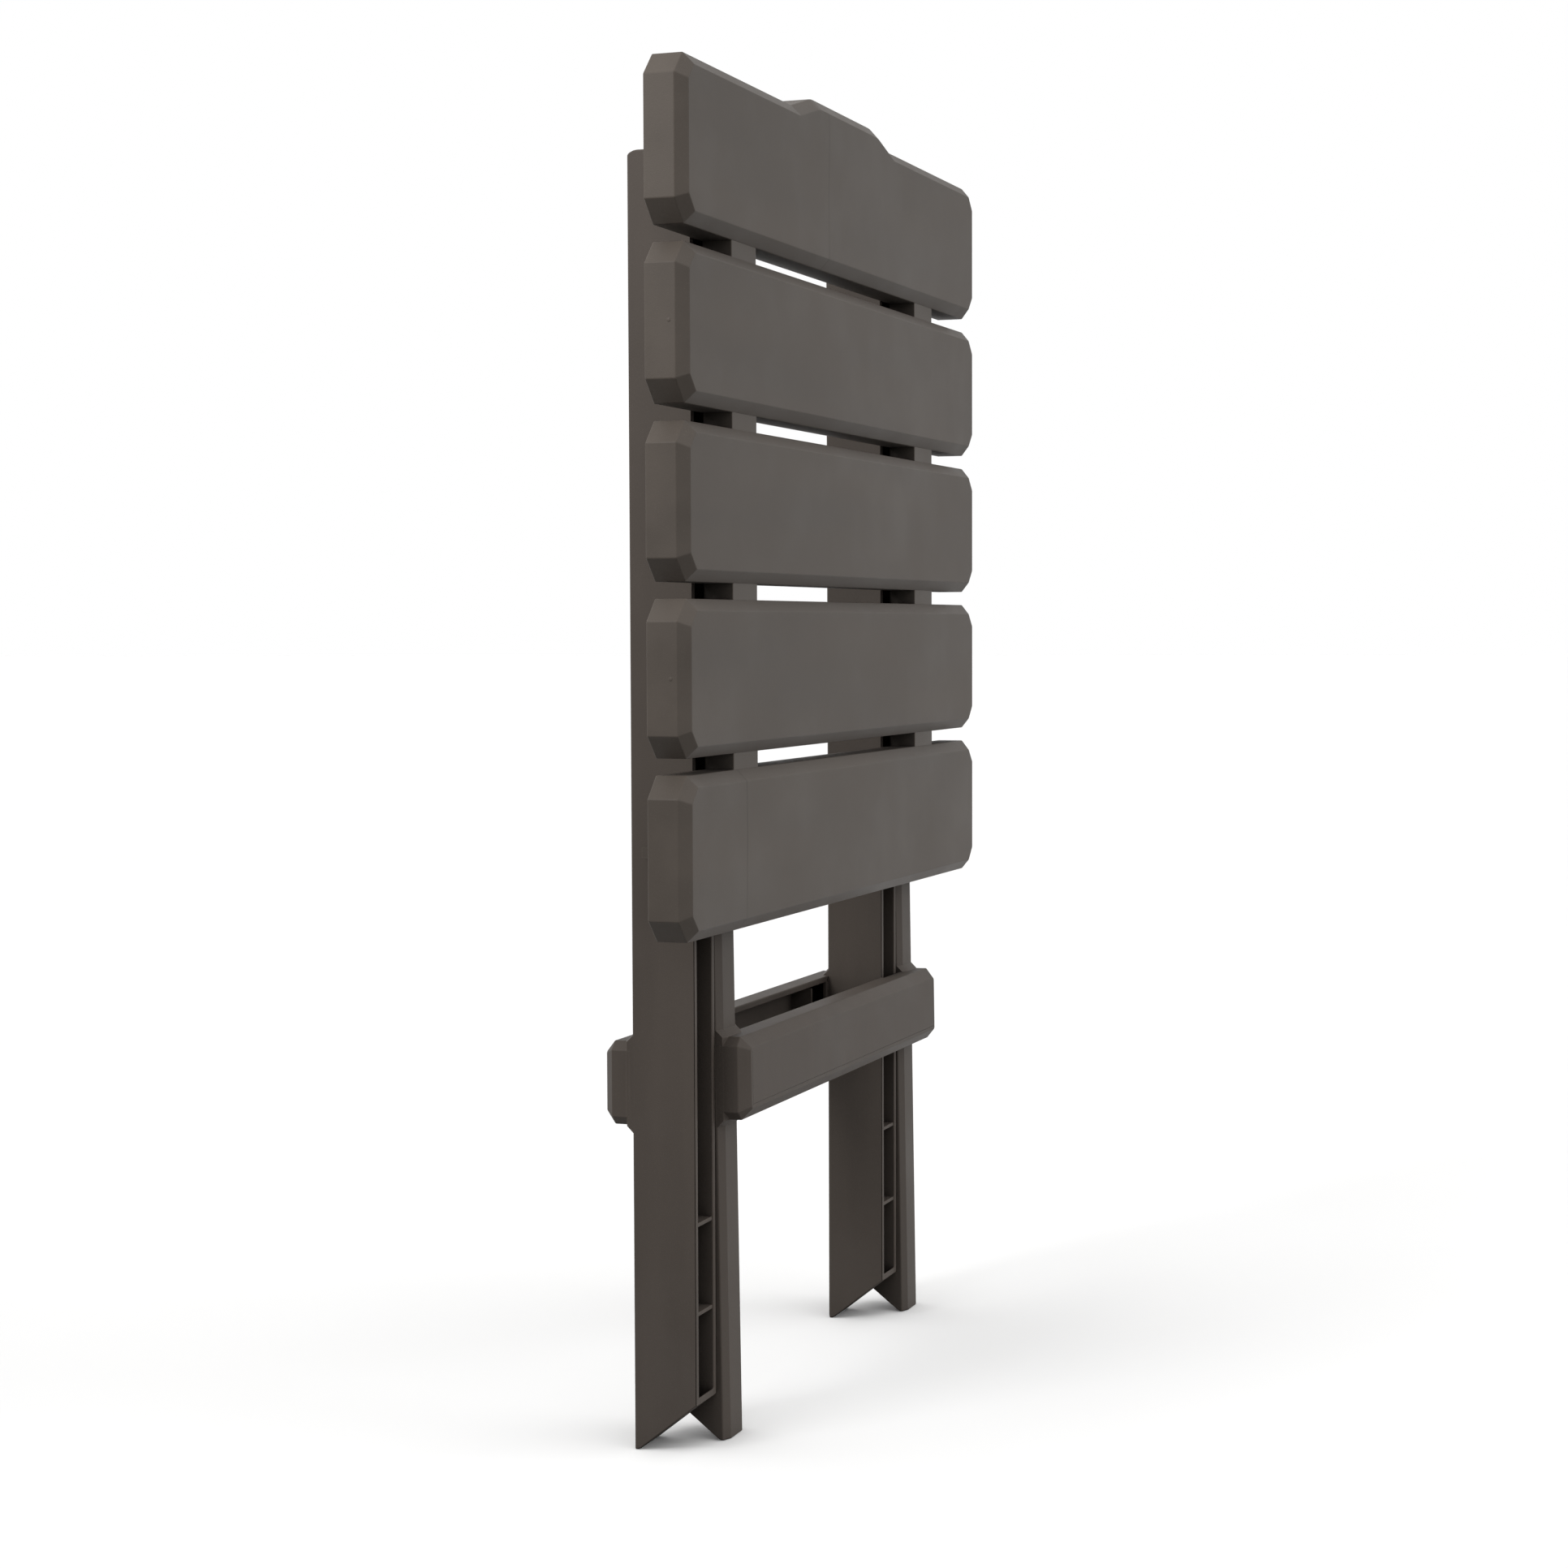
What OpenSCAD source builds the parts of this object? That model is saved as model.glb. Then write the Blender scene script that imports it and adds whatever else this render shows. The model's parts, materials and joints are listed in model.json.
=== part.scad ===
// Folding slatted side table with crossed legs, folded flat and standing on its leg ends.
// X runs along the slats, Y goes from the slat faces back to the legs, Z is up.
// Origin: centre of the bounding box, at the level that the leg ends stand on.

/* [Tabletop] */
// Length of every slat, along X
slat_len = 443; // [380:1:500]
// Height of the first and last slat
slat_outer = 73.5; // [60:0.5:84]
// Height of the three slats between them
slat_inner = 70; // [60:0.5:84]
// Open gap between two slats
slat_gap = 7.4; // [5:0.2:10]
// Depth of a slat from its face to its open back
slat_depth = 19.2; // [16:0.2:22]
// Corner cut at the ends of a slat, seen from the front
slat_corner = 10; // [6:0.5:16]
// Width of the bevel round a face
bevel_w = 5.3; // [3:0.1:7]
// Depth of the bevel round a face
bevel_d = 4.8; // [3:0.1:6]
// Width of the two runners that join the slats
runner_w = 31.4; // [24:0.2:34]
// Height of the finger grip on the first slat
grip_h = 7.6; // [4:0.2:10]
// Length of the flat top of the finger grip
grip_len = 91; // [60:1:120]

/* [Leg frames] */
// Length of a leg rail from its tip to its top
rail_len = 597; // [560:1:640]
// Width of a leg rail, along X
rail_w = 25; // [22:0.5:28]
// Depth of a leg rail, along Y
rail_d = 32.7; // [28:0.1:34]
// Gap between two rails that lie side by side
rail_gap = 1; // [0.6:0.1:2]
// Distance from the middle of the table to the line between two rails
rail_line = 137.5; // [120:0.5:150]
// Flat tip that a folded leg stands on
tip_flat = 3.8; // [2:0.2:6]
// Height of a stretcher
stretcher_h = 39; // [30:1:50]
// Height of a stretcher's lower edge above the tips
stretcher_z = 151; // [120:1:180]
// How far a stretcher stands out from its rails
stretcher_out = 13.4; // [8:0.1:16]

/* [Fold] */
// Angle of each leg from upright when the table is open
open_angle = 38.5; // [30:0.5:44]
// Angle left between the two leg frames when the table is folded
rest_splay = 0.8; // [0.4:0.1:1.5]
// Distance from a rail's top to the pin near it
top_pin_drop = 10; // [8:0.5:12]
// Space between the back of the slats and the rear rails
fold_space = 1.6; // [0.5:0.1:2]
// Overhang of the tabletop past the pins, the same on both sides
overhang = 42; // [36:1:50]
// Diameter of the cross pivot pins
cross_pin_d = 8; // [6:0.5:10]
// Diameter of the pins and studs at the tops of the rails
top_pin_d = 7; // [5:0.5:8]
// Radial clearance of a turning pin
fit = 0.05; // [0.02:0.01:0.1]

/* [Hidden] */
$fn = 64;

resin = [0.42, 0.38, 0.34];
resin_dark = [0.34, 0.31, 0.28];
pin_grey = [0.25, 0.24, 0.23];
wall = 3.2;
skin = 2.4;
plate_t = 2.6;
rib_t = 1.8;
play = 0.1;
sliver = 0.01;

// Places along Z
top_h = 2 * slat_outer + 3 * slat_inner + 4 * slat_gap;
pin_z = rail_len - top_pin_drop;
table_z = pin_z + overhang - top_h;
latch_span = top_h - 2 * overhang;
pivot_r = latch_span / (2 * sin(open_angle));
pivot_z = pin_z - pivot_r;

// Places along Y
whole_d = slat_depth + fold_space + rail_d + stretcher_out;
face_y = -whole_d / 2;
back_y = face_y + slat_depth;
leg_y = back_y + fold_space + rail_d / 2;
hinge_y = leg_y + pivot_r * sin(rest_splay);
hinge_z = pivot_z + pivot_r * cos(rest_splay);
front_lift = (rail_d / 2 - tip_flat) * sin(rest_splay) + pivot_z * (1 - cos(rest_splay));

// Places along X of the rails of the rear frame
rear_left_x = -rail_line - rail_gap / 2 - rail_w;
rear_right_x = rail_line - rail_gap / 2 - rail_w;
frame_w = rear_right_x + rail_w - rear_left_x;

// Foot and top of a rail
foot_rise = (rail_d - tip_flat) * tan(open_angle);
front_round = 8;
back_round = 6.5;
web_bevel_x = 5;
web_bevel_y = 2;
foot_rib_z = [64.5, 106];
sole_share = 1.6;
lip_back = 0.6;

// Hinge brackets and latch seats of the tabletop
bracket_t = 4;
bracket_space = 1.5;
boss_r = 8;
bracket_base = 34;
seat_t = 4;
seat_stop = 5;
cap_t = 3;
pin_nose = 1;
head_t = 2.6;
flange = 3;
seat_back = 8;

// Finger grip
grip_ramp = 28;
grip_root = 12;
grip_wall = 6;

// Ribs behind the slats, in the rails and in the stretchers
rib_low = 4;
slat_rib_step = 38;
pin_rib_drop = [28, 70];
pivot_rib = 20;
beam_rib_step = 44;

// Lower edge of slat n above the leg tips, with slat 1 at the top
function slat_h(n) = (n == 1 || n == 5) ? slat_outer : slat_inner;
function slat_low(n) = n == 5 ? table_z : slat_low(n + 1) + slat_h(n + 1) + slat_gap;

// A rectangle with cut corners, from x0 to x1 and z0 to z1, drawn in by g
function cut_rect(x0, x1, z0, z1, c, g) =
    let (k = c + g * (sqrt(2) - 1))
    [[x0 + k, z0 + g], [x1 - k, z0 + g], [x1 - g, z0 + k], [x1 - g, z1 - k],
     [x1 - k, z1 - g], [x0 + k, z1 - g], [x0 + g, z1 - k], [x0 + g, z0 + k]];

// Extrusions of a flat outline along X and along Y
module along_x(x0, x1) {
    translate([x0, 0, 0]) rotate([90, 0, 90]) linear_extrude(x1 - x0) children();
}

module along_y(y0, y1) {
    translate([0, y1, 0]) rotate([90, 0, 0]) linear_extrude(y1 - y0) children();
}

module box(x0, x1, y0, y1, z0, z1) {
    translate([x0, y0, z0]) cube([x1 - x0, y1 - y0, z1 - z0]);
}

// A round bar along X at a given y and z
module bar(x0, x1, y, z, d) {
    translate([x0, y, z]) rotate([0, 90, 0]) cylinder(h = x1 - x0, d = d);
}

// A panel with a bevelled face towards -Y: y0 is the face and y1 the back
module bevelled_panel(x0, x1, z0, z1, c, y0, y1) {
    hull() {
        along_y(y0 + bevel_d, y1) polygon(cut_rect(x0, x1, z0, z1, c, 0));
        along_y(y0, y0 + sliver) polygon(cut_rect(x0, x1, z0, z1, c, bevel_w));
    }
}

// Finger grip: a raised length in the middle of the first slat's outer edge
function grip_outline(g, z) =
    let (top = grip_len / 2 - g / 2, foot = grip_len / 2 + grip_ramp - g)
    [[-foot, z - grip_root], [foot, z - grip_root], [foot, z - g],
     [top, z + grip_h - g], [-top, z + grip_h - g], [-foot, z - g]];

module finger_grip() {
    z = table_z + top_h;
    hollow_foot = grip_len / 2 + grip_ramp - grip_wall;
    hollow_top = grip_len / 2 - 1;
    difference() {
        hull() {
            along_y(face_y + bevel_d, back_y) polygon(grip_outline(0, z));
            along_y(face_y, face_y + sliver) polygon(grip_outline(bevel_w, z));
        }
        along_y(face_y + bevel_d + 1, back_y + 1)
            polygon([[-hollow_foot, z - grip_root - 1], [hollow_foot, z - grip_root - 1],
                [hollow_top, z + grip_h - skin], [-hollow_top, z + grip_h - skin]]);
    }
}

// One slat: bevelled front, open ribbed back, and a slot for each runner.
// No rib stands where a runner, a bracket or a seat is.
module slat(n) {
    x1 = slat_len / 2;
    z0 = slat_low(n);
    z1 = z0 + slat_h(n);
    z_mid = (z0 + z1) / 2;
    ribs_to = back_y - rib_low;
    busy = rail_w + rail_gap / 2 + bracket_space + bracket_t + 1;
    difference() {
        union() {
            bevelled_panel(-x1, x1, z0, z1, slat_corner, face_y, back_y);
            if (n == 1) finger_grip();
        }
        difference() {
            union() {
                along_y(face_y + plate_t, back_y)
                    polygon(cut_rect(-x1, x1, z0, z1, slat_corner, bevel_w + 0.7));
                along_y(face_y + bevel_d + 1, back_y + 1)
                    polygon(cut_rect(-x1, x1, z0, z1, slat_corner, skin));
            }
            box(busy - rail_line, rail_line - busy, face_y, ribs_to, z_mid - rib_t / 2, z_mid + rib_t / 2);
            for (s = [-1, 1])
                box(min(s * x1, s * (rail_line + busy)), max(s * x1, s * (rail_line + busy)),
                    face_y, ribs_to, z_mid - rib_t / 2, z_mid + rib_t / 2);
            for (i = [-5 : 5])
                if (abs(i) != 3 && abs(i) != 4)
                    box(i * slat_rib_step - rib_t / 2, i * slat_rib_step + rib_t / 2,
                        face_y, ribs_to, z0, z1);
            for (s = [-1, 1])
                box(s * rail_line - runner_w / 2, s * rail_line + runner_w / 2,
                    face_y, face_y + bevel_d, z0, z1);
        }
        for (s = [-1, 1])
            box(s * rail_line - runner_w / 2, s * rail_line + runner_w / 2, face_y + bevel_d, back_y + 1,
                n == 5 ? z0 + skin : z0 - 1, n == 1 ? z1 - skin : z1 + 1);
    }
}

// A runner: a channel that crosses the backs of all five slats
module runner(side) {
    x0 = side * rail_line - runner_w / 2;
    x1 = side * rail_line + runner_w / 2;
    z0 = slat_low(5) + skin;
    z1 = slat_low(1) + slat_outer - skin;
    difference() {
        box(x0, x1, face_y + bevel_d, back_y, z0, z1);
        box(x0 + skin, x1 - skin, face_y + bevel_d + skin, back_y + 1, z0 + skin, z1 - skin);
    }
    for (n = [2 : 5])
        box(x0 + skin, x1 - skin, face_y + bevel_d + skin, back_y - rib_low,
            slat_low(n) + slat_h(n) - rib_t, slat_low(n) + slat_h(n));
}

// A bracket behind the first slat that holds one hinge pin
module hinge_bracket(x0) {
    x1 = x0 + bracket_t;
    difference() {
        union() {
            bar(x0, x1, hinge_y, hinge_z, 2 * boss_r);
            along_x(x0, x1) polygon([
                [face_y + plate_t, hinge_z - bracket_base / 2],
                [back_y, hinge_z - bracket_base / 2],
                [hinge_y, hinge_z - boss_r],
                [hinge_y, hinge_z + boss_r],
                [back_y, hinge_z + bracket_base / 2],
                [face_y + plate_t, hinge_z + bracket_base / 2]]);
        }
        bar(x0 - 1, x1 + 1, hinge_y, hinge_z, top_pin_d + 2 * fit);
    }
}

// A seat behind the last slat: the stud of a rear rail rests in its corner
module latch_seat(x0) {
    stud_z = hinge_z - latch_span;
    r = top_pin_d / 2 + play;
    along_x(x0, x0 + seat_t) polygon([
        [face_y + plate_t, stud_z - r - seat_stop],
        [hinge_y + r, stud_z - r - seat_stop],
        [hinge_y + r, stud_z - r],
        [hinge_y - r, stud_z - r],
        [hinge_y - r, stud_z + r],
        [back_y, stud_z + r + seat_back],
        [face_y + plate_t, stud_z + r + seat_back]]);
}

// Side outline of a rail, with its tip at the back and its foot cut rising to the front
module rail_side(g) {
    f = leg_y - rail_d / 2;
    b = leg_y + rail_d / 2;
    polygon([[b - g, g], [b - g, rail_len - back_round], [b - back_round, rail_len - back_round],
        [b - back_round, rail_len - g], [f + front_round, rail_len - g],
        [f + front_round, rail_len - front_round], [f, rail_len - front_round],
        [f, foot_rise + g * sole_share], [b - tip_flat - g, g]]);
    translate([b - back_round, rail_len - back_round]) circle(r = back_round - g);
    translate([f + front_round, rail_len - front_round]) circle(r = front_round - g);
}

// One channel rail, drawn as a rear rail: plate on its -X side, web at the back
module rail(x0, lift) {
    x1 = x0 + rail_w;
    f = leg_y - rail_d / 2;
    b = leg_y + rail_d / 2;
    difference() {
        along_x(x0, x1) rail_side(0);
        along_x(x0 + wall, x1 - wall) intersection() {
            rail_side(wall);
            translate([f - 1, -1]) square([rail_d - wall + 1, rail_len + 2]);
        }
        box(x0 + wall, x1 - wall, f - 1, f + front_round,
            foot_rise + wall * sole_share, rail_len - front_round);
        for (m = [0, 1])
            translate([m * (x0 + x1), 0, 0]) mirror([m, 0, 0])
                translate([x0, b, -1]) linear_extrude(rail_len + 2)
                    polygon([[-1, 1], [web_bevel_x, 1], [web_bevel_x, 0],
                        [0, -web_bevel_y], [-1, -web_bevel_y]]);
        bar(x1 - wall - 1, x1 + 1, leg_y, pivot_z + lift, cross_pin_d + 2 * fit);
    }
    pivot_ribs = [pivot_z - pivot_rib, pivot_z + pivot_rib];
    for (z = concat(foot_rib_z, pivot_ribs, [for (d = pin_rib_drop) pin_z - d]))
        box(x0 + wall, x1 - wall, f + lip_back, b - wall, z - rib_t / 2, z + rib_t / 2);
}

// The cross member of a frame, drawn as the rear one: a bevelled beam behind the rails
module stretcher() {
    x0 = rear_left_x;
    x1 = x0 + frame_w;
    b = leg_y + rail_d / 2;
    out = b + stretcher_out;
    z0 = stretcher_z;
    z1 = z0 + stretcher_h;
    inner = 2;
    corner = 4;
    clear = 2;
    lip_x0 = rear_left_x + 2 * rail_w + rail_gap + clear;
    difference() {
        union() {
            translate([0, out, 0]) mirror([0, 1, 0])
                bevelled_panel(x0, x1, z0, z1, corner, 0, stretcher_out);
            box(lip_x0, rear_right_x, b - inner, b, z0, z1);
        }
        box(lip_x0 + wall, rear_right_x - wall, b - inner - 1, out - plate_t, z0 + wall, z1 - wall);
        box(x0 + rail_w + wall, lip_x0 - 1, b - 1, out - plate_t, z0 + wall, z1 - wall);
    }
    for (i = [1 : 4])
        box(lip_x0 + i * beam_rib_step - rib_t / 2, lip_x0 + i * beam_rib_step + rib_t / 2,
            b - inner + wall, out - plate_t,
            z0 + wall, z1 - wall);
    for (x = [rear_left_x, rear_right_x])
        along_x(x, x + rail_w) polygon([[b, z0 - wall], [b + wall, z0], [b + wall, z1], [b, z1 + wall]]);
}

// The front frame is the same moulding turned half round and pinned at the cross pivot.
// Its bores sit front_lift higher, so that its splayed tips reach down to the rear tips' level.
module as_front() {
    translate([0, leg_y, pivot_z]) rotate([-rest_splay, 0, 0]) rotate([0, 0, 180])
        translate([0, -leg_y, -pivot_z - front_lift]) children();
}

// Open saddle for a hinge pin, cut in a front rail's plate up and out towards the front
module saddle(x0) {
    r = top_pin_d / 2 + fit;
    mouth = 46.5;
    along_x(x0 - 1, x0 + wall + pin_nose + 0.5) translate([leg_y, pin_z + front_lift]) union() {
        circle(r = r);
        rotate(-mouth) polygon([[-r, 0], [r, 0], [r + 3, 24], [-r - 3, 24]]);
    }
}

module rear_rail(x0) {
    stud_hole = top_pin_d + 2 * fit;
    difference() {
        rail(x0, 0);
        bar(x0 - 1, x0 + wall + 1, leg_y, pin_z, stud_hole);
    }
}

module front_rail(x0) {
    as_front() difference() {
        rail(x0, front_lift);
        saddle(x0);
    }
}

// Cross pivot: a headed pin in the rear rail's channel, capped in the front rail's
module cross_pin(line) {
    reach = rail_gap / 2 + wall + play;
    bar(line - reach - head_t, line - reach, leg_y, pivot_z, cross_pin_d + 2 * flange);
    bar(line - reach, line + reach + cap_t, leg_y, pivot_z, cross_pin_d);
}

module cross_cap(line) {
    reach = rail_gap / 2 + wall + play;
    difference() {
        bar(line + reach, line + reach + cap_t, leg_y, pivot_z, cross_pin_d + 2 * flange);
        bar(line + reach - 1, line + reach + cap_t + 1, leg_y, pivot_z, cross_pin_d);
    }
}

// Hinge pin: its plain nose turns in the front rail's plate, past the bracket it has a cap
module hinge_pin(plate_x) {
    far = plate_x + bracket_space + bracket_t + play + cap_t;
    bar(plate_x - wall - pin_nose, far, hinge_y, hinge_z, top_pin_d);
}

module hinge_cap(plate_x) {
    near = plate_x + bracket_space + bracket_t + play;
    difference() {
        bar(near, near + cap_t, hinge_y, hinge_z, top_pin_d + 2 * flange);
        bar(near - 1, near + cap_t + 1, hinge_y, hinge_z, top_pin_d);
    }
}

// Latch stud: headed inside a rear rail's channel and standing out through its plate
module latch_stud(plate_x) {
    head_x = plate_x + wall + play;
    stud_head_d = top_pin_d + 4;
    bar(head_x, head_x + head_t, leg_y, pin_z, stud_head_d);
    bar(plate_x - bracket_space - seat_t - 1, head_x, leg_y, pin_z, top_pin_d);
}

// X of the outer faces that the pins and studs pass through
front_left_plate = -rear_right_x;
front_right_plate = -rear_left_x;

module slat_1() { color(resin) slat(1); }
module slat_2() { color(resin) slat(2); }
module slat_3() { color(resin) slat(3); }
module slat_4() { color(resin) slat(4); }
module slat_5() { color(resin) slat(5); }
module runner_left() { color(resin) runner(-1); }
module runner_right() { color(resin) runner(1); }
module hinge_bracket_left() { color(resin) hinge_bracket(front_left_plate + bracket_space); }
module hinge_bracket_right() { color(resin) hinge_bracket(front_right_plate + bracket_space); }
module latch_seat_left() { color(resin) latch_seat(rear_left_x - bracket_space - seat_t); }
module latch_seat_right() { color(resin) latch_seat(rear_right_x - bracket_space - seat_t); }
module rear_rail_left() { color(resin) rear_rail(rear_left_x); }
module rear_rail_right() { color(resin) rear_rail(rear_right_x); }
module rear_stretcher() { color(resin) stretcher(); }
module front_rail_left() { color(resin_dark) front_rail(rear_right_x); }
module front_rail_right() { color(resin_dark) front_rail(rear_left_x); }
module front_stretcher() { color(resin_dark) as_front() stretcher(); }
module cross_pin_left() { color(pin_grey) cross_pin(-rail_line); }
module cross_pin_right() { color(pin_grey) cross_pin(rail_line); }
module cross_cap_left() { color(pin_grey) cross_cap(-rail_line); }
module cross_cap_right() { color(pin_grey) cross_cap(rail_line); }
module hinge_pin_left() { color(pin_grey) hinge_pin(front_left_plate); }
module hinge_pin_right() { color(pin_grey) hinge_pin(front_right_plate); }
module hinge_cap_left() { color(pin_grey) hinge_cap(front_left_plate); }
module hinge_cap_right() { color(pin_grey) hinge_cap(front_right_plate); }
module latch_stud_left() { color(pin_grey) latch_stud(rear_left_x); }
module latch_stud_right() { color(pin_grey) latch_stud(rear_right_x); }

slat_1();
slat_2();
slat_3();
slat_4();
slat_5();
runner_left();
runner_right();
hinge_bracket_left();
hinge_bracket_right();
latch_seat_left();
latch_seat_right();
rear_rail_left();
rear_rail_right();
rear_stretcher();
front_rail_left();
front_rail_right();
front_stretcher();
cross_pin_left();
cross_pin_right();
cross_cap_left();
cross_cap_right();
hinge_pin_left();
hinge_pin_right();
hinge_cap_left();
hinge_cap_right();
latch_stud_left();
latch_stud_right();
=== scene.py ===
import json
import math

import bmesh
import bpy
from mathutils import Matrix, Vector


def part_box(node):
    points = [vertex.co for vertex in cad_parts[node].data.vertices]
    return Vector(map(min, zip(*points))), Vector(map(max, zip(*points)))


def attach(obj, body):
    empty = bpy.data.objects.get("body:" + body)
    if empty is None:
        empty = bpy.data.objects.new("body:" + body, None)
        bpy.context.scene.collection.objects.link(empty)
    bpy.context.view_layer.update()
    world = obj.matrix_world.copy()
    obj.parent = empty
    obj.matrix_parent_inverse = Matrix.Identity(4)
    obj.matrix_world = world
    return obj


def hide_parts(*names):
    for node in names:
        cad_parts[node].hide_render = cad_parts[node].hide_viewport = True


# Folding slatted side table, folded flat and standing on its leg ends.
# All places are in metres: X along the slats, Y from the slat faces back to the legs, Z up.

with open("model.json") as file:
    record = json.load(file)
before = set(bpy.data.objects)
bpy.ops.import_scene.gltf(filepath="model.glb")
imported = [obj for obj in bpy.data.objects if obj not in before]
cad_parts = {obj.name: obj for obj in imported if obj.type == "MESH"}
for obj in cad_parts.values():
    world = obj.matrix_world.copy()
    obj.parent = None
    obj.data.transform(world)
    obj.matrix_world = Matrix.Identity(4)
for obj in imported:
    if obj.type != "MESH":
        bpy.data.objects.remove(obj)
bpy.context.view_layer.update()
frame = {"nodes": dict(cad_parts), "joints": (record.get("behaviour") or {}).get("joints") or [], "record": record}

MM = 0.001
ARC_STEPS = 4
TURN_STEPS = 40

# ---------------------------------------------------------------- places, from the frame

slat_boxes = [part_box(f"slat_{n}") for n in range(1, 6)]
FACE_Y = slat_boxes[0][0].y
BACK_Y = slat_boxes[0][1].y
SLAT_X = slat_boxes[0][1].x
OUTER_H = slat_boxes[4][1].z - slat_boxes[4][0].z
TABLE_TOP = slat_boxes[0][0].z + OUTER_H
GRIP_H = slat_boxes[0][1].z - TABLE_TOP

rail_low, rail_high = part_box("rear_rail_left")
RAIL_F = rail_low.y
RAIL_B = rail_high.y
RAIL_TOP = rail_high.z
RAIL_W = rail_high.x - rail_low.x
REAR_LEFT_X = rail_low.x
REAR_RIGHT_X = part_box("rear_rail_right")[0].x

beam_low, beam_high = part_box("rear_stretcher")
BEAM_OUT = beam_high.y
FLARE = 3.2 * MM
BEAM_Z0 = beam_low.z + FLARE
BEAM_Z1 = beam_high.z - FLARE

joints = {j["name"]: j for j in frame["joints"]}
PIVOT = Vector(joints["leg_spread"]["pos_m"])
STUD = Vector(joints["stud_roll"]["pos_m"])
HINGE = Vector(joints["top_swing"]["pos_m"])
SPLAY = math.atan2(HINGE.y - PIVOT.y, HINGE.z - PIVOT.z)
OPEN_ANGLE = (math.radians(joints["leg_spread"]["range_deg"][1]) + SPLAY) / 2

# ---------------------------------------------------------------- sizes of the mouldings

# Slats: bevel round the face, cut corners, walls, ribs and finger grip
BEVEL_W = 5.3 * MM
BEVEL_D = 4.8 * MM
SLAT_CUT = 10 * MM
SLAT_CORNER_R = 1.2 * MM
SKIN = 2.4 * MM
PLATE = 2.6 * MM
RIB = 1.8 * MM
RIB_LOW = 4 * MM
RIB_STEP = 38 * MM
RIB_MIDDLE_END = 105 * MM
RIB_SIDE_START = 170 * MM
RUNNER_RIBS = (3, 4)
GRIP_FLAT = 45.5 * MM
GRIP_FOOT = 73.5 * MM
GRIP_CURVES = [6 * MM, 26 * MM, 26 * MM, 6 * MM]
GATE_R = 0.9 * MM
GATE_FROM_BACK = 11.4 * MM
GATE_SLATS = (2, 4)
GATE_STEPS = 16

# Leg rails: a channel with a bevelled web, rounded tops and ribs at these heights
WALL = 3.2 * MM
TIP = 3.8 * MM
WEB_X = 5 * MM
WEB_Y = 2 * MM
TOP_ROUND_B = 6.5 * MM
TOP_ROUND_F = 8 * MM
RAIL_CORNER_R = 0.8 * MM
RAIL_RIBS = [64.5 * MM, 106 * MM, PIVOT.z - 20 * MM, PIVOT.z + 20 * MM,
             STUD.z - 28 * MM, STUD.z - 70 * MM]

# Stretchers: cut corners, the low lip between the rails and a gusset near one rail
BEAM_CUT = 4 * MM
LIP = 2 * MM
LIP_GAP = 3 * MM
GUSSET_FROM_RAIL = 26 * MM

# Pins, their bores and the open saddles of the front rails
PIN_R = 3.5 * MM
CROSS_R = 4 * MM
BORE_GAP = 0.05 * MM
HEAD = 2.6 * MM
NOSE = 0.6 * MM
SADDLE_TILT = math.radians(46.5)
SADDLE_REACH = 24 * MM
SADDLE_WIDEN = 3 * MM
SADDLE_STEPS = 16

# Softened edges, from large to small, how far a cutter or a buried end runs past a face,
# and the angle from which an edge is shaded as a sharp one
SOFT = 0.9 * MM
RIM = 0.6 * MM
FINE = 0.4 * MM
HAIR = 0.25 * MM
PAST = 1 * MM
SHARP_FROM = math.radians(35)


# ---------------------------------------------------------------- outlines

def inset(points, d):
    """The closed outline drawn in by d, with sharp corners. Points run anticlockwise."""
    n = len(points)
    moved = []
    for i in range(n):
        a, p, b = points[i - 1], points[i], points[(i + 1) % n]
        e1 = (p - a).normalized()
        e2 = (b - p).normalized()
        n1 = Vector((-e1.y, e1.x))
        n2 = Vector((-e2.y, e2.x))
        moved.append(p + (n1 + n2) * (d / (1 + n1.dot(n2))))
    return moved


def rounded(points, radii, closed=True, steps=ARC_STEPS):
    """The outline with every corner turned into an arc of steps + 1 points."""
    n = len(points)
    out = []
    for i in range(n):
        p = points[i]
        if not closed and i in (0, n - 1):
            out.append(p.copy())
            continue
        a, b = points[i - 1], points[(i + 1) % n]
        to_a, to_b = a - p, b - p
        half = to_a.angle(to_b) / 2
        reach = min(radii[i] / math.tan(half), 0.45 * to_a.length, 0.45 * to_b.length)
        radius = reach * math.tan(half)
        start = p + to_a.normalized() * reach
        end = p + to_b.normalized() * reach
        middle = p + (to_a.normalized() + to_b.normalized()).normalized() * (radius / math.sin(half))
        for k in range(steps + 1):
            t = k / steps
            spoke = (start - middle).lerp(end - middle, t).normalized() * radius
            out.append(middle + spoke)
    return out


def cut_rect(x0, x1, z0, z1, c):
    """A rectangle whose corners are cut off by c."""
    return [Vector(p) for p in ((x0 + c, z0), (x1 - c, z0), (x1, z0 + c), (x1, z1 - c),
                                (x1 - c, z1), (x0 + c, z1), (x0, z1 - c), (x0, z0 + c))]


def rectangle(x0, x1, z0, z1):
    return [Vector(p) for p in ((x0, z0), (x1, z0), (x1, z1), (x0, z1))]


# ---------------------------------------------------------------- mesh building

def loft(bm, loops):
    """One closed shell through the loops, capped at both ends."""
    rows = [[bm.verts.new(p) for p in loop] for loop in loops]
    for a, b in zip(rows, rows[1:]):
        for i in range(len(a)):
            k = (i + 1) % len(a)
            bm.faces.new((a[i], a[k], b[k], b[i]))
    bm.faces.new(reversed(rows[0]))
    bm.faces.new(rows[-1])


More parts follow.
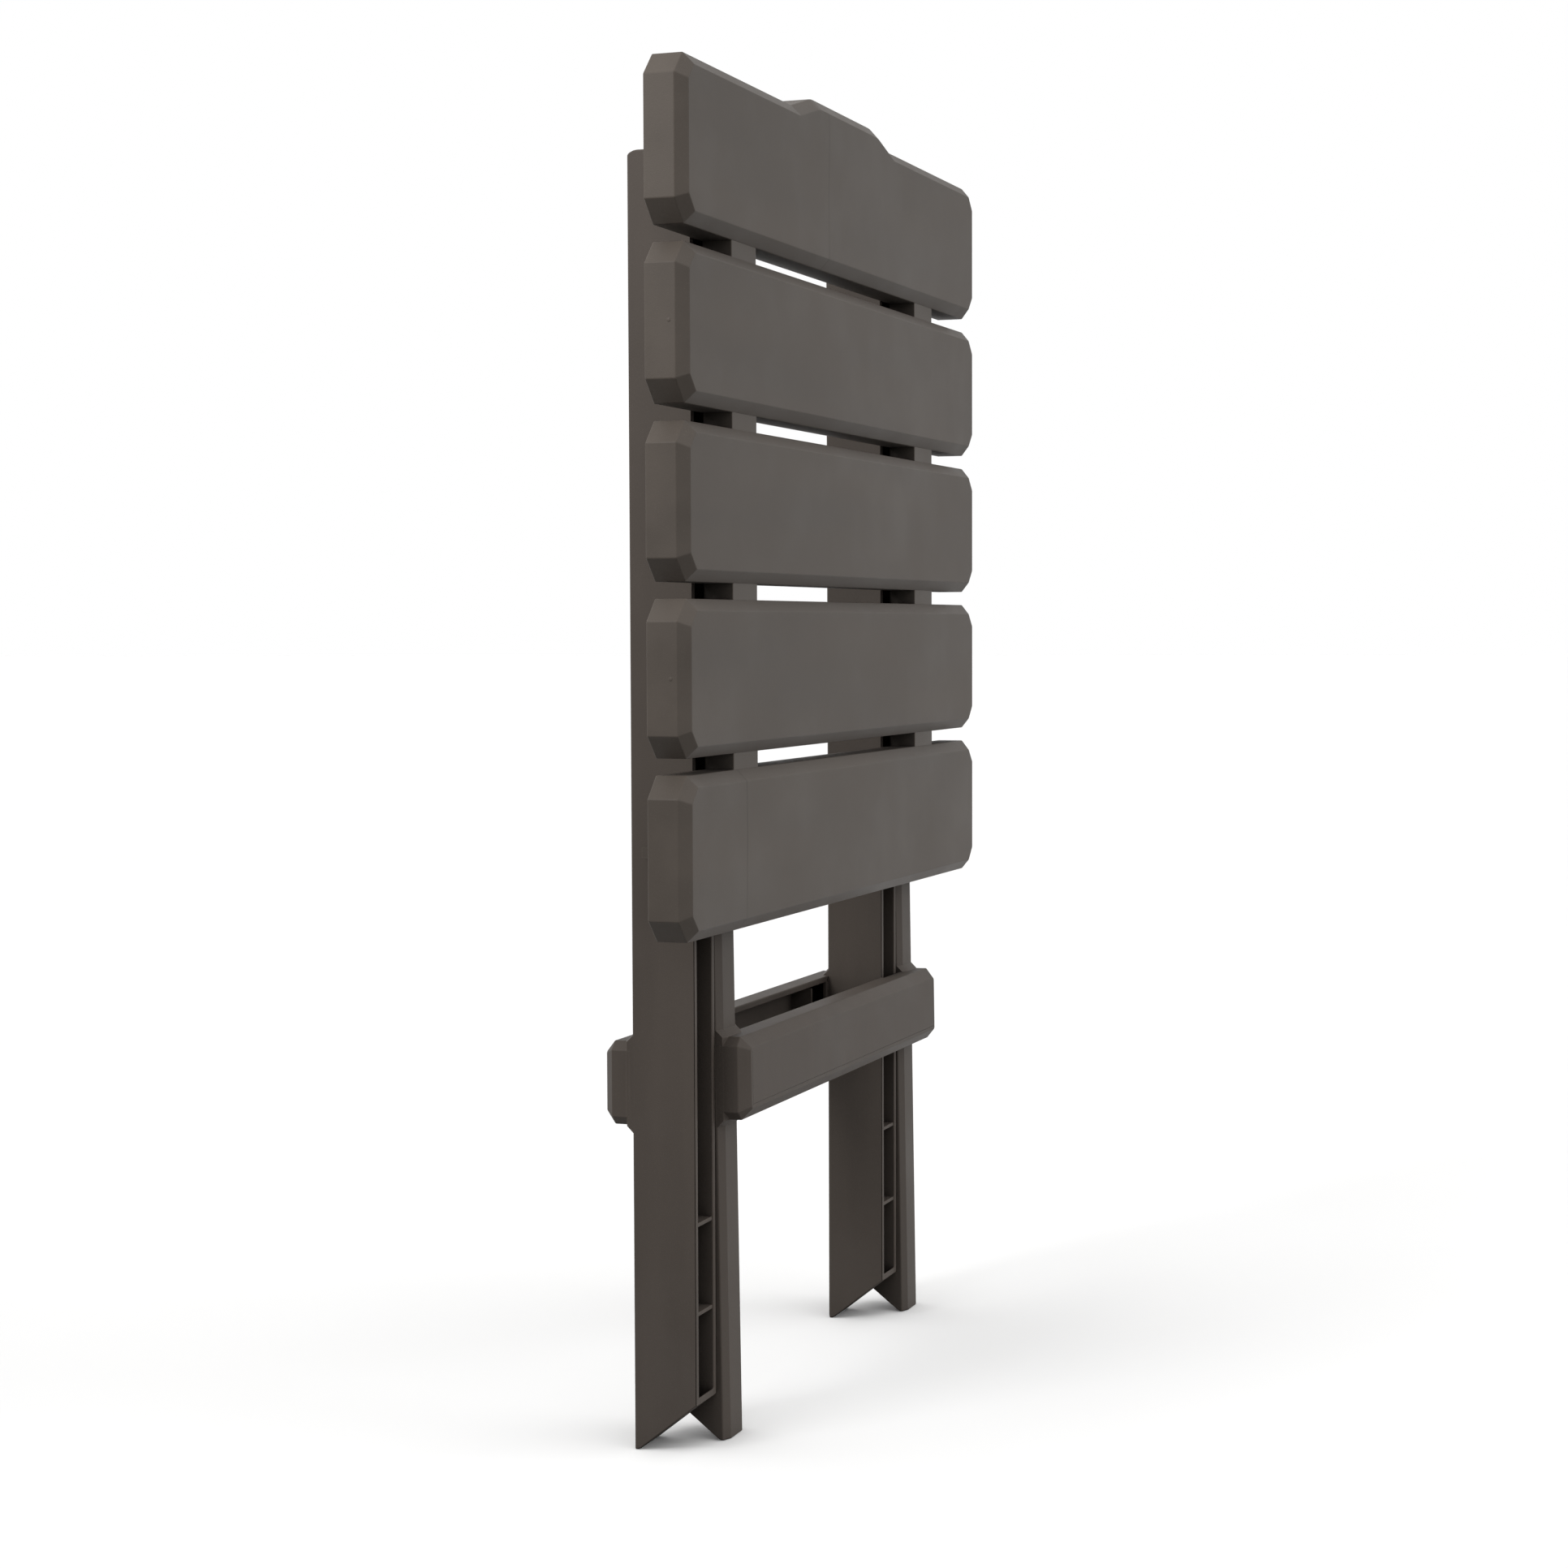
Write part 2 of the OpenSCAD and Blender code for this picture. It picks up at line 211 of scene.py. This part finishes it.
def tray(bm, outline, radii, profile, profile_radii, y0):
    """A shell made by one outline that is drawn in and moved along Y, as the profile says.
    A profile point is (how far the outline is drawn in, how deep it lies behind y0)."""
    path = rounded([Vector(p) for p in profile], [0] + profile_radii + [0], closed=False)
    loops = []
    for g, depth in path:
        ring = rounded(inset(outline, g), radii)
        loops.append([Vector((p.x, y0 + depth, p.y)) for p in ring])
    loft(bm, loops)


def prism(bm, outline, place, start, end, r=HAIR):
    """A flat outline extruded from start to end with softened rims.
    place() puts the outline's two coordinates and the depth in space."""
    steps = ((r, start), (0, start + r), (0, end - r), (r, end))
    loft(bm, [[place(p.x, p.y, t) for p in inset(outline, g)] for g, t in steps])


def from_yz(y, z, x):
    return Vector((x, y, z))


def from_zy(z, y, x):
    return Vector((x, y, z))


def from_xy(x, y, z):
    return Vector((x, y, z))


def block(bm, low, high):
    """A box whose lower and upper rims are softened."""
    prism(bm, rectangle(low.x, high.x, low.y, high.y), from_xy, low.z, high.z)


def turned(bm, profile, centre, steps=TURN_STEPS):
    """A solid of revolution about an axis along X. The profile holds (x, radius)."""
    rows = []
    for x, r in profile:
        rows.append([Vector((x, centre.y + r * math.cos(a), centre.z + r * math.sin(a)))
                     for a in (math.tau * k / steps for k in range(steps))])
    loft(bm, rows)


def carve(bm, cutters):
    """Takes the cutters' solids out of the mesh and returns the new one."""
    scene = bpy.context.scene
    objects = []
    for name, source in (("carved", bm), ("cutter", cutters)):
        bmesh.ops.recalc_face_normals(source, faces=source.faces)
        mesh = bpy.data.meshes.new(name)
        source.to_mesh(mesh)
        source.free()
        objects.append(bpy.data.objects.new(name, mesh))
        scene.collection.objects.link(objects[-1])
    cut = objects[0].modifiers.new("cut", "BOOLEAN")
    cut.operation = "DIFFERENCE"
    cut.solver = "EXACT"
    cut.object = objects[1]
    result = objects[0].evaluated_get(bpy.context.evaluated_depsgraph_get()).to_mesh()
    carved = bmesh.new()
    carved.from_mesh(result)
    for obj in objects:
        mesh = obj.data
        bpy.data.objects.remove(obj)
        bpy.data.meshes.remove(mesh)
    return carved


def finish_piece(bm, name, body, material, nodes, move=None):
    """Turns the mesh into an object that rides on a body and stands for its CAD nodes."""
    if move:
        bmesh.ops.transform(bm, matrix=move, verts=bm.verts)
    bmesh.ops.recalc_face_normals(bm, faces=bm.faces)
    mesh = bpy.data.meshes.new(name)
    bm.to_mesh(mesh)
    bm.free()
    piece = bpy.data.objects.new(name, mesh)
    bpy.context.scene.collection.objects.link(piece)
    mesh.materials.append(material)
    for face in mesh.polygons:
        face.use_smooth = True
    mesh.set_sharp_from_angle(angle=SHARP_FROM)
    normals = piece.modifiers.new("normals", "WEIGHTED_NORMAL")
    normals.keep_sharp = True
    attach(piece, body)
    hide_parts(*nodes)


# ---------------------------------------------------------------- materials

class Nodes:
    """Short ways to add and join shader nodes in one material."""

    def __init__(self, material):
        material.use_nodes = True
        self.tree = material.node_tree
        self.shader = self.tree.nodes["Principled BSDF"]
        self.place = self.tree.nodes.new("ShaderNodeTexCoord").outputs["Object"]

    def add(self, kind, sockets, **settings):
        node = self.tree.nodes.new(kind)
        for key, value in settings.items():
            setattr(node, key, value)
        for key, value in sockets.items():
            if isinstance(value, bpy.types.NodeSocket):
                self.tree.links.new(value, node.inputs[key])
            else:
                node.inputs[key].default_value = value
        return node

    def noise(self, scale, detail=2.0, stretch=(1, 1, 1)):
        mapped = self.add("ShaderNodeMapping", {"Vector": self.place, "Scale": stretch})
        return self.add("ShaderNodeTexNoise", {"Vector": mapped.outputs[0], "Scale": scale,
                                               "Detail": detail}).outputs["Fac"]

    def span(self, value, low, high, to_low, to_high):
        """The value carried from one range to another, held at its ends."""
        return self.add("ShaderNodeMapRange", {"Value": value, "From Min": low, "From Max": high,
                                               "To Min": to_low, "To Max": to_high}).outputs["Result"]

    def maths(self, operation, a, b=0.0):
        return self.add("ShaderNodeMath", {0: a, 1: b}, operation=operation).outputs[0]

    def mix(self, amount, a, b):
        node = self.add("ShaderNodeMix", {0: amount, 6: a, 7: b}, data_type="RGBA")
        return node.outputs[2]


def shade(tone, by):
    """The tone made darker or lighter, as a colour with alpha."""
    return (tone[0] * by, tone[1] * by, tone[2] * by, 1)


WEAR_AND_HIGHLIGHT_RADIUS = 1.1 * MM
# How far the painted shade in recesses looks for nearby surfaces
PAINTED_SHADE_REACH = 35 * MM
GRAIN_DEPTH = 0.12 * MM
SINK_DEPTH = 0.6 * MM
SHEEN = 0.12


def resin(name, tone, roughness, flow, weld_x=None):
    """Moulded resin: fine grain, flow streaks along the moulding, lighter edges that are partly wear
    and partly painted highlight, painted shade that darkens recesses, and a faint weld line."""
    material = bpy.data.materials.new(name)
    n = Nodes(material)
    streak = n.span(n.noise(34, 4, flow), 0.32, 0.68, 0, 1)
    colour = n.mix(streak, shade(tone, 0.9), shade(tone, 1.09))
    patch = n.noise(16, 5)
    dusty = shade((tone[0] * 1.02, tone[1] * 1.05, tone[2] * 1.1), 1.28)
    colour = n.mix(n.span(patch, 0.5, 0.75, 0, 0.3), colour, dusty)
    speck = n.span(n.noise(1400, 2), 0.6, 0.75, 0, 0.22)
    colour = n.mix(speck, colour, shade(tone, 1.6))
    # Lighter edges: partly wear and partly a painted highlight for the light that the rounded edges catch
    rim = n.add("ShaderNodeBevel", {"Radius": WEAR_AND_HIGHLIGHT_RADIUS}, samples=4).outputs["Normal"]
    normal = n.add("ShaderNodeNewGeometry", {}).outputs["Normal"]
    likeness = n.add("ShaderNodeVectorMath", {0: rim, 1: normal}, operation="DOT_PRODUCT").outputs["Value"]
    patchy_edges = n.span(n.noise(70, 3), 0.35, 0.65, 0.12, 0.5)
    wear_and_highlight = n.maths("MULTIPLY", n.span(likeness, 0.985, 0.86, 0, 1), patchy_edges)
    colour = n.mix(wear_and_highlight, colour, shade(tone, 1.9))
    if weld_x is not None:
        x = n.add("ShaderNodeSeparateXYZ", {0: n.place}).outputs["X"]
        wander = n.span(n.noise(30, 2), 0, 1, -0.002, 0.002)
        off = n.maths("ABSOLUTE", n.maths("ADD", n.maths("SUBTRACT", x, weld_x), wander))
        colour = n.mix(n.span(off, 0.0002, 0.0009, 0.65, 0), colour, shade(tone, 0.6))
    # Painted shade: ambient occlusion darkens the colour nearly to black in recesses, and roughness rises there
    # too
    open_air = n.add("ShaderNodeAmbientOcclusion", {"Distance": PAINTED_SHADE_REACH}, samples=6).outputs["AO"]
    painted_recess_shade = n.span(open_air, 0.08, 0.52, 1, 0)
    colour = n.mix(n.maths("MULTIPLY", painted_recess_shade, 0.92), colour, shade(tone, 0.08))
    n.tree.links.new(colour, n.shader.inputs["Base Color"])
    gloss = n.maths("ADD", n.span(patch, 0.3, 0.7, roughness - 0.05, roughness + 0.06),
                    n.span(streak, 0, 1, -0.02, 0.02))
    gloss = n.maths("ADD", gloss, n.maths("MULTIPLY", painted_recess_shade, 0.4))
    n.tree.links.new(gloss, n.shader.inputs["Roughness"])
    relief = n.maths("ADD", n.noise(2300, 2), n.maths("MULTIPLY", n.noise(600, 3), 0.6))
    grain = n.add("ShaderNodeBump", {"Height": relief, "Strength": 0.35, "Distance": GRAIN_DEPTH})
    sink = n.add("ShaderNodeBump", {"Height": n.noise(24, 1), "Strength": 0.25, "Distance": SINK_DEPTH,
                                    "Normal": grain.outputs["Normal"]})
    n.tree.links.new(sink.outputs["Normal"], n.shader.inputs["Normal"])
    n.shader.inputs["Specular IOR Level"].default_value = SHEEN
    return material


ALONG_X = (0.16, 1, 1)
ALONG_Z = (1, 1, 0.16)
EVEN = (1, 1, 1)
TAUPE = (0.068, 0.057, 0.048)
LEG_TAUPE = (0.064, 0.053, 0.045)
DARK_GREY = (0.035, 0.032, 0.030)
WELD_X = {1: -32 * MM, 5: -149 * MM}
table_resin = resin("table_resin", TAUPE, 0.5, ALONG_X)
weld_resins = {n: resin(f"table_resin_{n}", TAUPE, 0.5, ALONG_X, x) for n, x in WELD_X.items()}
leg_resin = resin("leg_resin", LEG_TAUPE, 0.55, ALONG_Z)
pin_resin = resin("pin_resin", DARK_GREY, 0.42, EVEN)

# ---------------------------------------------------------------- tabletop

def rib_outline(a0, a1):
    """Side of a rib that spans a0 to a1 behind a bevelled plate, in (place, y)."""
    y0 = FACE_Y + PLATE / 2
    y1 = FACE_Y + BEVEL_D + RIM
    y2 = BACK_Y - RIB_LOW
    wide = SKIN / 2
    narrow = BEVEL_W + PAST
    return [Vector(p) for p in ((a0 + narrow, y0), (a1 - narrow, y0), (a1 - wide, y1),
                                (a1 - wide, y2), (a0 + wide, y2), (a0 + wide, y1))]


def slat(n):
    """One slat: bevelled face, open ribbed back, and the finger grip on the first."""
    low, high = slat_boxes[n - 1]
    top = TABLE_TOP if n == 1 else high.z
    outline = cut_rect(-SLAT_X, SLAT_X, low.z, top, SLAT_CUT)
    radii = [SLAT_CORNER_R] * 8
    if n == 1:
        grip_top = top + GRIP_H
        grip = ((GRIP_FOOT, top), (GRIP_FLAT, grip_top), (-GRIP_FLAT, grip_top), (-GRIP_FOOT, top))
        upper_left = 5
        outline[upper_left:upper_left] = [Vector(p) for p in grip]
        radii[upper_left:upper_left] = GRIP_CURVES
    depth = BACK_Y - FACE_Y
    profile = [(BEVEL_W + 2 * MM, 0), (BEVEL_W, 0), (0, BEVEL_D), (0, depth), (SKIN, depth),
               (SKIN, BEVEL_D + PAST), (BEVEL_W + 0.7 * MM, PLATE), (BEVEL_W + 2 * MM, PLATE)]
    bm = bmesh.new()
    tray(bm, outline, radii, profile, [SOFT, SOFT, RIM, RIM, FINE, FINE], FACE_Y)
    for i in range(-5, 6):
        if abs(i) not in RUNNER_RIBS:
            x = i * RIB_STEP
            prism(bm, rib_outline(low.z, top), from_zy, x - RIB / 2, x + RIB / 2)
    middle = (low.z + top) / 2
    spans = ((-RIB_MIDDLE_END, RIB_MIDDLE_END), (RIB_SIDE_START, SLAT_X), (-SLAT_X, -RIB_SIDE_START))
    for x0, x1 in spans:
        prism(bm, rib_outline(x0, x1), from_xy, middle - RIB / 2, middle + RIB / 2)
    if n in GATE_SLATS:
        gate = Vector((0, BACK_Y - GATE_FROM_BACK, middle))
        turned(bm, [(-SLAT_X + PAST, GATE_R), (-SLAT_X - 0.1 * MM, GATE_R),
                    (-SLAT_X - 0.25 * MM, 0.5 * MM)], gate, GATE_STEPS)
    material = weld_resins.get(n, table_resin)
    finish_piece(bm, f"slat_{n}_moulding", "tabletop", material, [f"slat_{n}"])


def runner(side):
    """A channel that crosses the backs of all the slats."""
    node = f"runner_{side}"
    low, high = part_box(node)
    outline = rectangle(low.x, high.x, low.z, high.z)
    depth = high.y - low.y
    profile = [(1.4 * MM, 0), (0, 0), (0, depth), (SKIN, depth), (SKIN, SKIN), (SKIN + PAST, SKIN)]
    bm = bmesh.new()
    tray(bm, outline, [FINE] * 4, profile, [FINE, RIM, RIM, FINE], low.y)
    finish_piece(bm, f"{node}_moulding", "tabletop", table_resin, [node])


for n in range(1, 6):
    slat(n)
for side in ("left", "right"):
    runner(side)

# ---------------------------------------------------------------- leg frames


def rail_ends(y, g):
    """Lowest and highest z of the rail at depth y, drawn in by g."""
    z0 = max(0, (RAIL_B - TIP - y) * math.tan(OPEN_ANGLE))
    z1 = RAIL_TOP
    back = y - (RAIL_B - TOP_ROUND_B)
    front = (RAIL_F + TOP_ROUND_F) - y
    if back > 0:
        z1 = RAIL_TOP - TOP_ROUND_B + math.sqrt(max(0, TOP_ROUND_B ** 2 - back ** 2))
    if front > 0:
        z1 = RAIL_TOP - TOP_ROUND_F + math.sqrt(max(0, TOP_ROUND_F ** 2 - front ** 2))
    return z0 + g, z1 - g


def rail_mesh(x0, saddle):
    """A channel rail: its web at the back, its long opening towards the front.
    The plate at x0 has an open saddle or a stud's bore, and the other one the cross pin's bore."""
    bm = bmesh.new()
    x1 = x0 + RAIL_W
    depth = RAIL_B - RAIL_F
    arc = [TOP_ROUND_B * math.sin(math.radians(a)) for a in (75, 60, 45, 30, 15, 0)]
    outer = [(WEB_X + PAST, 0), (WEB_X, 0), (0, WEB_Y), (0, depth)]
    path = rounded([Vector(p) for p in outer], [0, SOFT, SOFT, 0], closed=False)[:-1]
    loops = [(g, RAIL_B - d, 0) for g, d in path]
    web_end = loops[-1][1] - FINE
    loops += [(0, RAIL_B - TOP_ROUND_B + a, 0) for a in arc if RAIL_B - TOP_ROUND_B + a < web_end]
    for a in (0, 15, 30, 45, 60, 72, 82):
        loops.append((0, RAIL_F + TOP_ROUND_F * (1 - math.sin(math.radians(a))), 0))
    loops.append((0, RAIL_F + FINE, 0))
    loops.append((FINE * 0.3, RAIL_F + FINE * 0.3, 0))
    loops.append((FINE, RAIL_F, 0))
    loops.append((WALL - FINE, RAIL_F, WALL - FINE))
    loops.append((WALL, RAIL_F + FINE, WALL))
    for a in (60, 30, 0):
        loops.append((WALL, RAIL_F + TOP_ROUND_F * (1 - math.sin(math.radians(a))), WALL))
    loops.append((WALL, RAIL_B - WALL - FINE, WALL))
    loops.append((WALL + FINE, RAIL_B - WALL, WALL))
    rings = []
    for g, y, end_g in loops:
        z0, z1 = rail_ends(y, end_g)
        ring = rounded(rectangle(x0 + g, x1 - g, z0, z1), [RAIL_CORNER_R] * 4)
        rings.append([Vector((p.x, y, p.y)) for p in ring])
    loft(bm, rings)
    cutters = bmesh.new()
    cross_r = CROSS_R + BORE_GAP
    turned(cutters, [(x1 - WALL - PAST, cross_r), (x1 + PAST, cross_r)], Vector((0, PIVOT.y, PIVOT.z)))
    if saddle:
        prism(cutters, saddle_outline(BORE_GAP), from_yz, x0 - PAST, x0 + WALL + 1.5 * MM)
    else:
        stud_r = PIN_R + BORE_GAP
        turned(cutters, [(x0 - PAST, stud_r), (x0 + WALL + PAST, stud_r)], Vector((0, STUD.y, STUD.z)))
    bm = carve(bm, cutters)
    for z in RAIL_RIBS:
        block(bm, Vector((x0 + WALL / 2, RAIL_F + RIM, z - RIB / 2)),
              Vector((x1 - WALL / 2, RAIL_B - WALL / 2, z + RIB / 2)))
    return bm


def beam_mesh():
    """The cross member: a bevelled beam behind the rails, with a low lip between them."""
    bm = bmesh.new()
    x1 = REAR_RIGHT_X + RAIL_W
    lip_x0 = REAR_LEFT_X + 2 * RAIL_W + LIP_GAP
    lip_y = RAIL_B - LIP
    whole = cut_rect(REAR_LEFT_X, x1, BEAM_Z0, BEAM_Z1, BEAM_CUT)
    lip = cut_rect(lip_x0, REAR_RIGHT_X, BEAM_Z0, BEAM_Z1, 0.5 * MM)
    radii = [1 * MM] * 8
    thin = [0.2 * MM] * 8
    profile = [(BEVEL_W + 2 * MM, 0), (BEVEL_W, 0), (0, BEVEL_D), (0, BEAM_OUT - RAIL_B)]
    outer = rounded([Vector(p) for p in profile], [0, SOFT, SOFT, 0], closed=False)
    rings = [(whole, radii, g, BEAM_OUT - d) for g, d in outer]
    lip_path = ((0, RAIL_B), (0, lip_y + FINE), (FINE, lip_y), (WALL - FINE, lip_y),
                (WALL, lip_y + FINE), (WALL, RAIL_B))
    rings += [(lip, thin, g, y) for g, y in lip_path]
    rings += [(whole, radii, BEVEL_W, RAIL_B + BEVEL_D), (whole, radii, BEVEL_W + PAST, BEAM_OUT - PLATE)]
    loops = []
    for outline, corner, g, y in rings:
        loops.append([Vector((p.x, y, p.y)) for p in rounded(inset(outline, g), corner)])
    loft(bm, loops)
    aside = 0.05 * MM
    for x in (REAR_LEFT_X, REAR_RIGHT_X):
        flare(bm, x + aside, x + RAIL_W - aside)
    gusset_x = REAR_RIGHT_X - GUSSET_FROM_RAIL
    behind_bevel = BEVEL_W - 0.9 * MM
    block(bm, Vector((gusset_x, lip_y + PAST, BEAM_Z0 + behind_bevel)),
          Vector((gusset_x + RIB, BEAM_OUT - PLATE / 2, BEAM_Z1 - behind_bevel)))
    return bm


def flare(bm, x0, x1):
    """The stretcher's 45 degree run onto a rail, which follows the rail's bevelled web."""
    under = RAIL_B - WEB_Y - PAST
    rings = []
    for z, out in ((BEAM_Z0 - FLARE, 0), (BEAM_Z0, FLARE), (BEAM_Z1, FLARE), (BEAM_Z1 + FLARE, 0)):
        back = RAIL_B + out
        outline = ((x0, under), (x0, back - WEB_Y), (x0 + WEB_X, back),
                   (x1 - WEB_X, back), (x1, back - WEB_Y), (x1, under))
        rings.append([Vector((x, y, z)) for x, y in outline])
    loft(bm, rings)


def saddle_outline(grow):
    """The open saddle for a hinge pin, in (y, z): round below and open up and out to the front."""
    r = PIN_R + grow
    points = []
    for k in range(SADDLE_STEPS + 1):
        a = math.pi + math.pi * k / SADDLE_STEPS
        points.append((r * math.cos(a), r * math.sin(a)))
    points += [(r + SADDLE_WIDEN, SADDLE_REACH), (-r - SADDLE_WIDEN, SADDLE_REACH)]
    c = math.cos(SADDLE_TILT)
    s = math.sin(SADDLE_TILT)
    return [Vector((STUD.y + u * c + v * s, STUD.z + v * c - u * s)) for u, v in points]


def leg_frame(name, body, move=None):
    """Two rails and their stretcher, drawn as the rear frame and moved to their place."""
    for side, x0 in (("left", REAR_LEFT_X), ("right", REAR_RIGHT_X)):
        bm = rail_mesh(x0, saddle=name == "front")
        if name == "front":
            side = "right" if side == "left" else "left"
        node = f"{name}_rail_{side}"
        finish_piece(bm, f"{node}_moulding", body, leg_resin, [node], move)
    node = f"{name}_stretcher"
    finish_piece(beam_mesh(), f"{node}_moulding", body, leg_resin, [node], move)


leg_frame("rear", "rear_frame")
# The front frame is the rear one turned half round about the cross pivot
turn = (Matrix.Translation(PIVOT) @ Matrix.Rotation(-SPLAY, 4, "X")
        @ Matrix.Rotation(math.pi, 4, "Z") @ Matrix.Translation(-PIVOT))
leg_frame("front", "front_frame", turn)

# ---------------------------------------------------------------- pins, caps and studs

bodies = {node: body for body, nodes in frame["record"]["behaviour"]["bodies"].items() for node in nodes}


def outer_radius(node):
    low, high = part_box(node)
    return (high.z - low.z) / 2


def round_part(node, steps):
    """A turned part along X in the CAD node's box. A step is (share of the length, offset, radius)."""
    low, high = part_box(node)
    profile = [(low.x + share * (high.x - low.x) + offset, r) for share, offset, r in steps]
    bm = bmesh.new()
    turned(bm, profile, (low + high) / 2)
    finish_piece(bm, f"{node}_turned", bodies[node], pin_resin, [node])


def headed(radius, shank):
    """A domed head at the low end of X, a plain shank and a chamfered nose."""
    rim = 0.2 * MM
    return [(0, 0, radius * 0.55), (0, 0.35 * MM, radius * 0.82), (0, 0.9 * MM, radius),
            (0, HEAD - rim, radius), (0, HEAD, radius - rim), (0, HEAD, shank),
            (1, -NOSE, shank), (1, 0, shank - NOSE)]


def mirrored(steps):
    return [(1 - share, -offset, r) for share, offset, r in reversed(steps)]


def cap(node, inner):
    """A cap round a pin: a flat ring with rounded rims."""
    low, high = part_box(node)
    centre = (low + high) / 2
    outer = outer_radius(node)
    r = 0.5 * MM
    section = [(low.x + r, outer), (low.x, outer - r), (low.x, inner),
               (high.x, inner), (high.x, outer - r), (high.x - r, outer)]
    bm = bmesh.new()
    rows = []
    for x, radius in section:
        row = []
        for k in range(TURN_STEPS):
            a = math.tau * k / TURN_STEPS
            row.append(bm.verts.new((x, centre.y + radius * math.cos(a), centre.z + radius * math.sin(a))))
        rows.append(row)
    for a, b in zip(rows, rows[1:] + rows[:1]):
        for k in range(TURN_STEPS):
            after = (k + 1) % TURN_STEPS
            bm.faces.new((a[k], a[after], b[after], b[k]))
    finish_piece(bm, f"{node}_ring", bodies[node], pin_resin, [node])


plain_pin = [(0, 0, PIN_R - NOSE), (0, NOSE, PIN_R), (1, -NOSE, PIN_R), (1, 0, PIN_R - NOSE)]
for side in ("left", "right"):
    cross_pin = f"cross_pin_{side}"
    latch_stud = f"latch_stud_{side}"
    round_part(cross_pin, headed(outer_radius(cross_pin), CROSS_R))
    round_part(latch_stud, mirrored(headed(outer_radius(latch_stud), PIN_R)))
    round_part(f"hinge_pin_{side}", plain_pin)
    cap(f"cross_cap_{side}", CROSS_R)
    cap(f"hinge_cap_{side}", PIN_R)

# Brackets and seats keep their CAD shape
for node, obj in frame["nodes"].items():
    if node.startswith(("hinge_bracket", "latch_seat")):
        obj.data.materials.clear()
        obj.data.materials.append(table_resin)

# ---------------------------------------------------------------- floor, light and camera

FLOOR_HALF = 40.0
FLOOR_WARM = (0.83, 0.826, 0.82, 1)
FLOOR_COOL = (0.845, 0.845, 0.845, 1)
floor_mesh = bpy.data.meshes.new("floor")
floor_corners = [(p.x, p.y, 0) for p in rectangle(-FLOOR_HALF, FLOOR_HALF, -FLOOR_HALF, FLOOR_HALF)]
floor_mesh.from_pydata(floor_corners, [], [(0, 1, 2, 3)])
floor = bpy.data.objects.new("floor", floor_mesh)
bpy.context.scene.collection.objects.link(floor)
pale = bpy.data.materials.new("pale_floor")
paint = Nodes(pale)
tint = paint.mix(paint.noise(3, 3), FLOOR_WARM, FLOOR_COOL)
paint.tree.links.new(tint, paint.shader.inputs["Base Color"])
paint.shader.inputs["Roughness"].default_value = 0.9
paint.shader.inputs["Specular IOR Level"].default_value = 0.1
floor_mesh.materials.append(pale)
floor.visible_diffuse = False

# The sky is white above and near the horizon and dark below it, so that what faces down stays dark
DARK_BELOW = -0.3
WHITE_ABOVE = -0.05
world = bpy.data.worlds.new("studio")
bpy.context.scene.world = world
world.use_nodes = True
sky = world.node_tree
direction = sky.nodes.new("ShaderNodeTexCoord").outputs["Generated"]
height = sky.nodes.new("ShaderNodeSeparateXYZ")
sky.links.new(direction, height.inputs[0])
fade = sky.nodes.new("ShaderNodeMapRange")
sky.links.new(height.outputs["Z"], fade.inputs["Value"])
fades = (("From Min", DARK_BELOW), ("From Max", WHITE_ABOVE), ("To Min", 0.06), ("To Max", 1.0))
for socket, value in fades:
    fade.inputs[socket].default_value = value
sky.links.new(fade.outputs["Result"], sky.nodes["Background"].inputs["Strength"])
sky.nodes["Background"].inputs["Color"].default_value = (1, 1, 1, 1)


def far_lamp(name, towards, strength, spread):
    """A soft far light; towards is the way from the object to the lamp."""
    lamp = bpy.data.lights.new(name, "SUN")
    lamp.energy = strength
    lamp.angle = math.radians(spread)
    obj = bpy.data.objects.new(name, lamp)
    obj.rotation_euler = (-Vector(towards)).to_track_quat("-Z", "Y").to_euler()
    bpy.context.scene.collection.objects.link(obj)


def near_lamp(name, place, aim, size, power, spread):
    """A soft box close to the object, which fades away from its aim."""
    lamp = bpy.data.lights.new(name, "AREA")
    lamp.size = size
    lamp.energy = power
    lamp.spread = math.radians(spread)
    obj = bpy.data.objects.new(name, lamp)
    obj.location = place
    obj.rotation_euler = (Vector(aim) - Vector(place)).to_track_quat("-Z", "Y").to_euler()
    bpy.context.scene.collection.objects.link(obj)


far_lamp("face_light", (0.35, -0.95, 0.35), 0.85, 50)
far_lamp("top_light", (-0.3, -0.1, 1), 0.4, 60)
near_lamp("side_light", (-0.85, 0.3, 0.95), (-0.15, 0, 0.62), 0.4, 2.0, 100)

CAMERA_YAW = math.radians(69.97)
CAMERA_PITCH = math.radians(-3.02)
CAMERA_ROLL = math.radians(-0.21)
CAMERA_LENS = 67.08
SENSOR = 36
# The camera's place from the slats' left end, their faces and the tabletop's upper edge
CAMERA_X = -SLAT_X - 1.1743
CAMERA_Y = FACE_Y - 0.4725
CAMERA_Z = TABLE_TOP - 0.2495
camera = bpy.data.cameras.new("camera")
camera.lens = CAMERA_LENS
camera.sensor_width = SENSOR
view = bpy.data.objects.new("camera", camera)
forward = Vector((math.sin(CAMERA_YAW) * math.cos(CAMERA_PITCH),
                  math.cos(CAMERA_YAW) * math.cos(CAMERA_PITCH), math.sin(CAMERA_PITCH)))
aim = forward.to_track_quat("-Z", "Y").to_matrix().to_4x4()
view.matrix_world = (Matrix.Translation((CAMERA_X, CAMERA_Y, CAMERA_Z))
                     @ aim @ Matrix.Rotation(CAMERA_ROLL, 4, "Z"))
bpy.context.scene.collection.objects.link(view)
bpy.context.scene.camera = view
bpy.context.scene.view_settings.view_transform = "Standard"
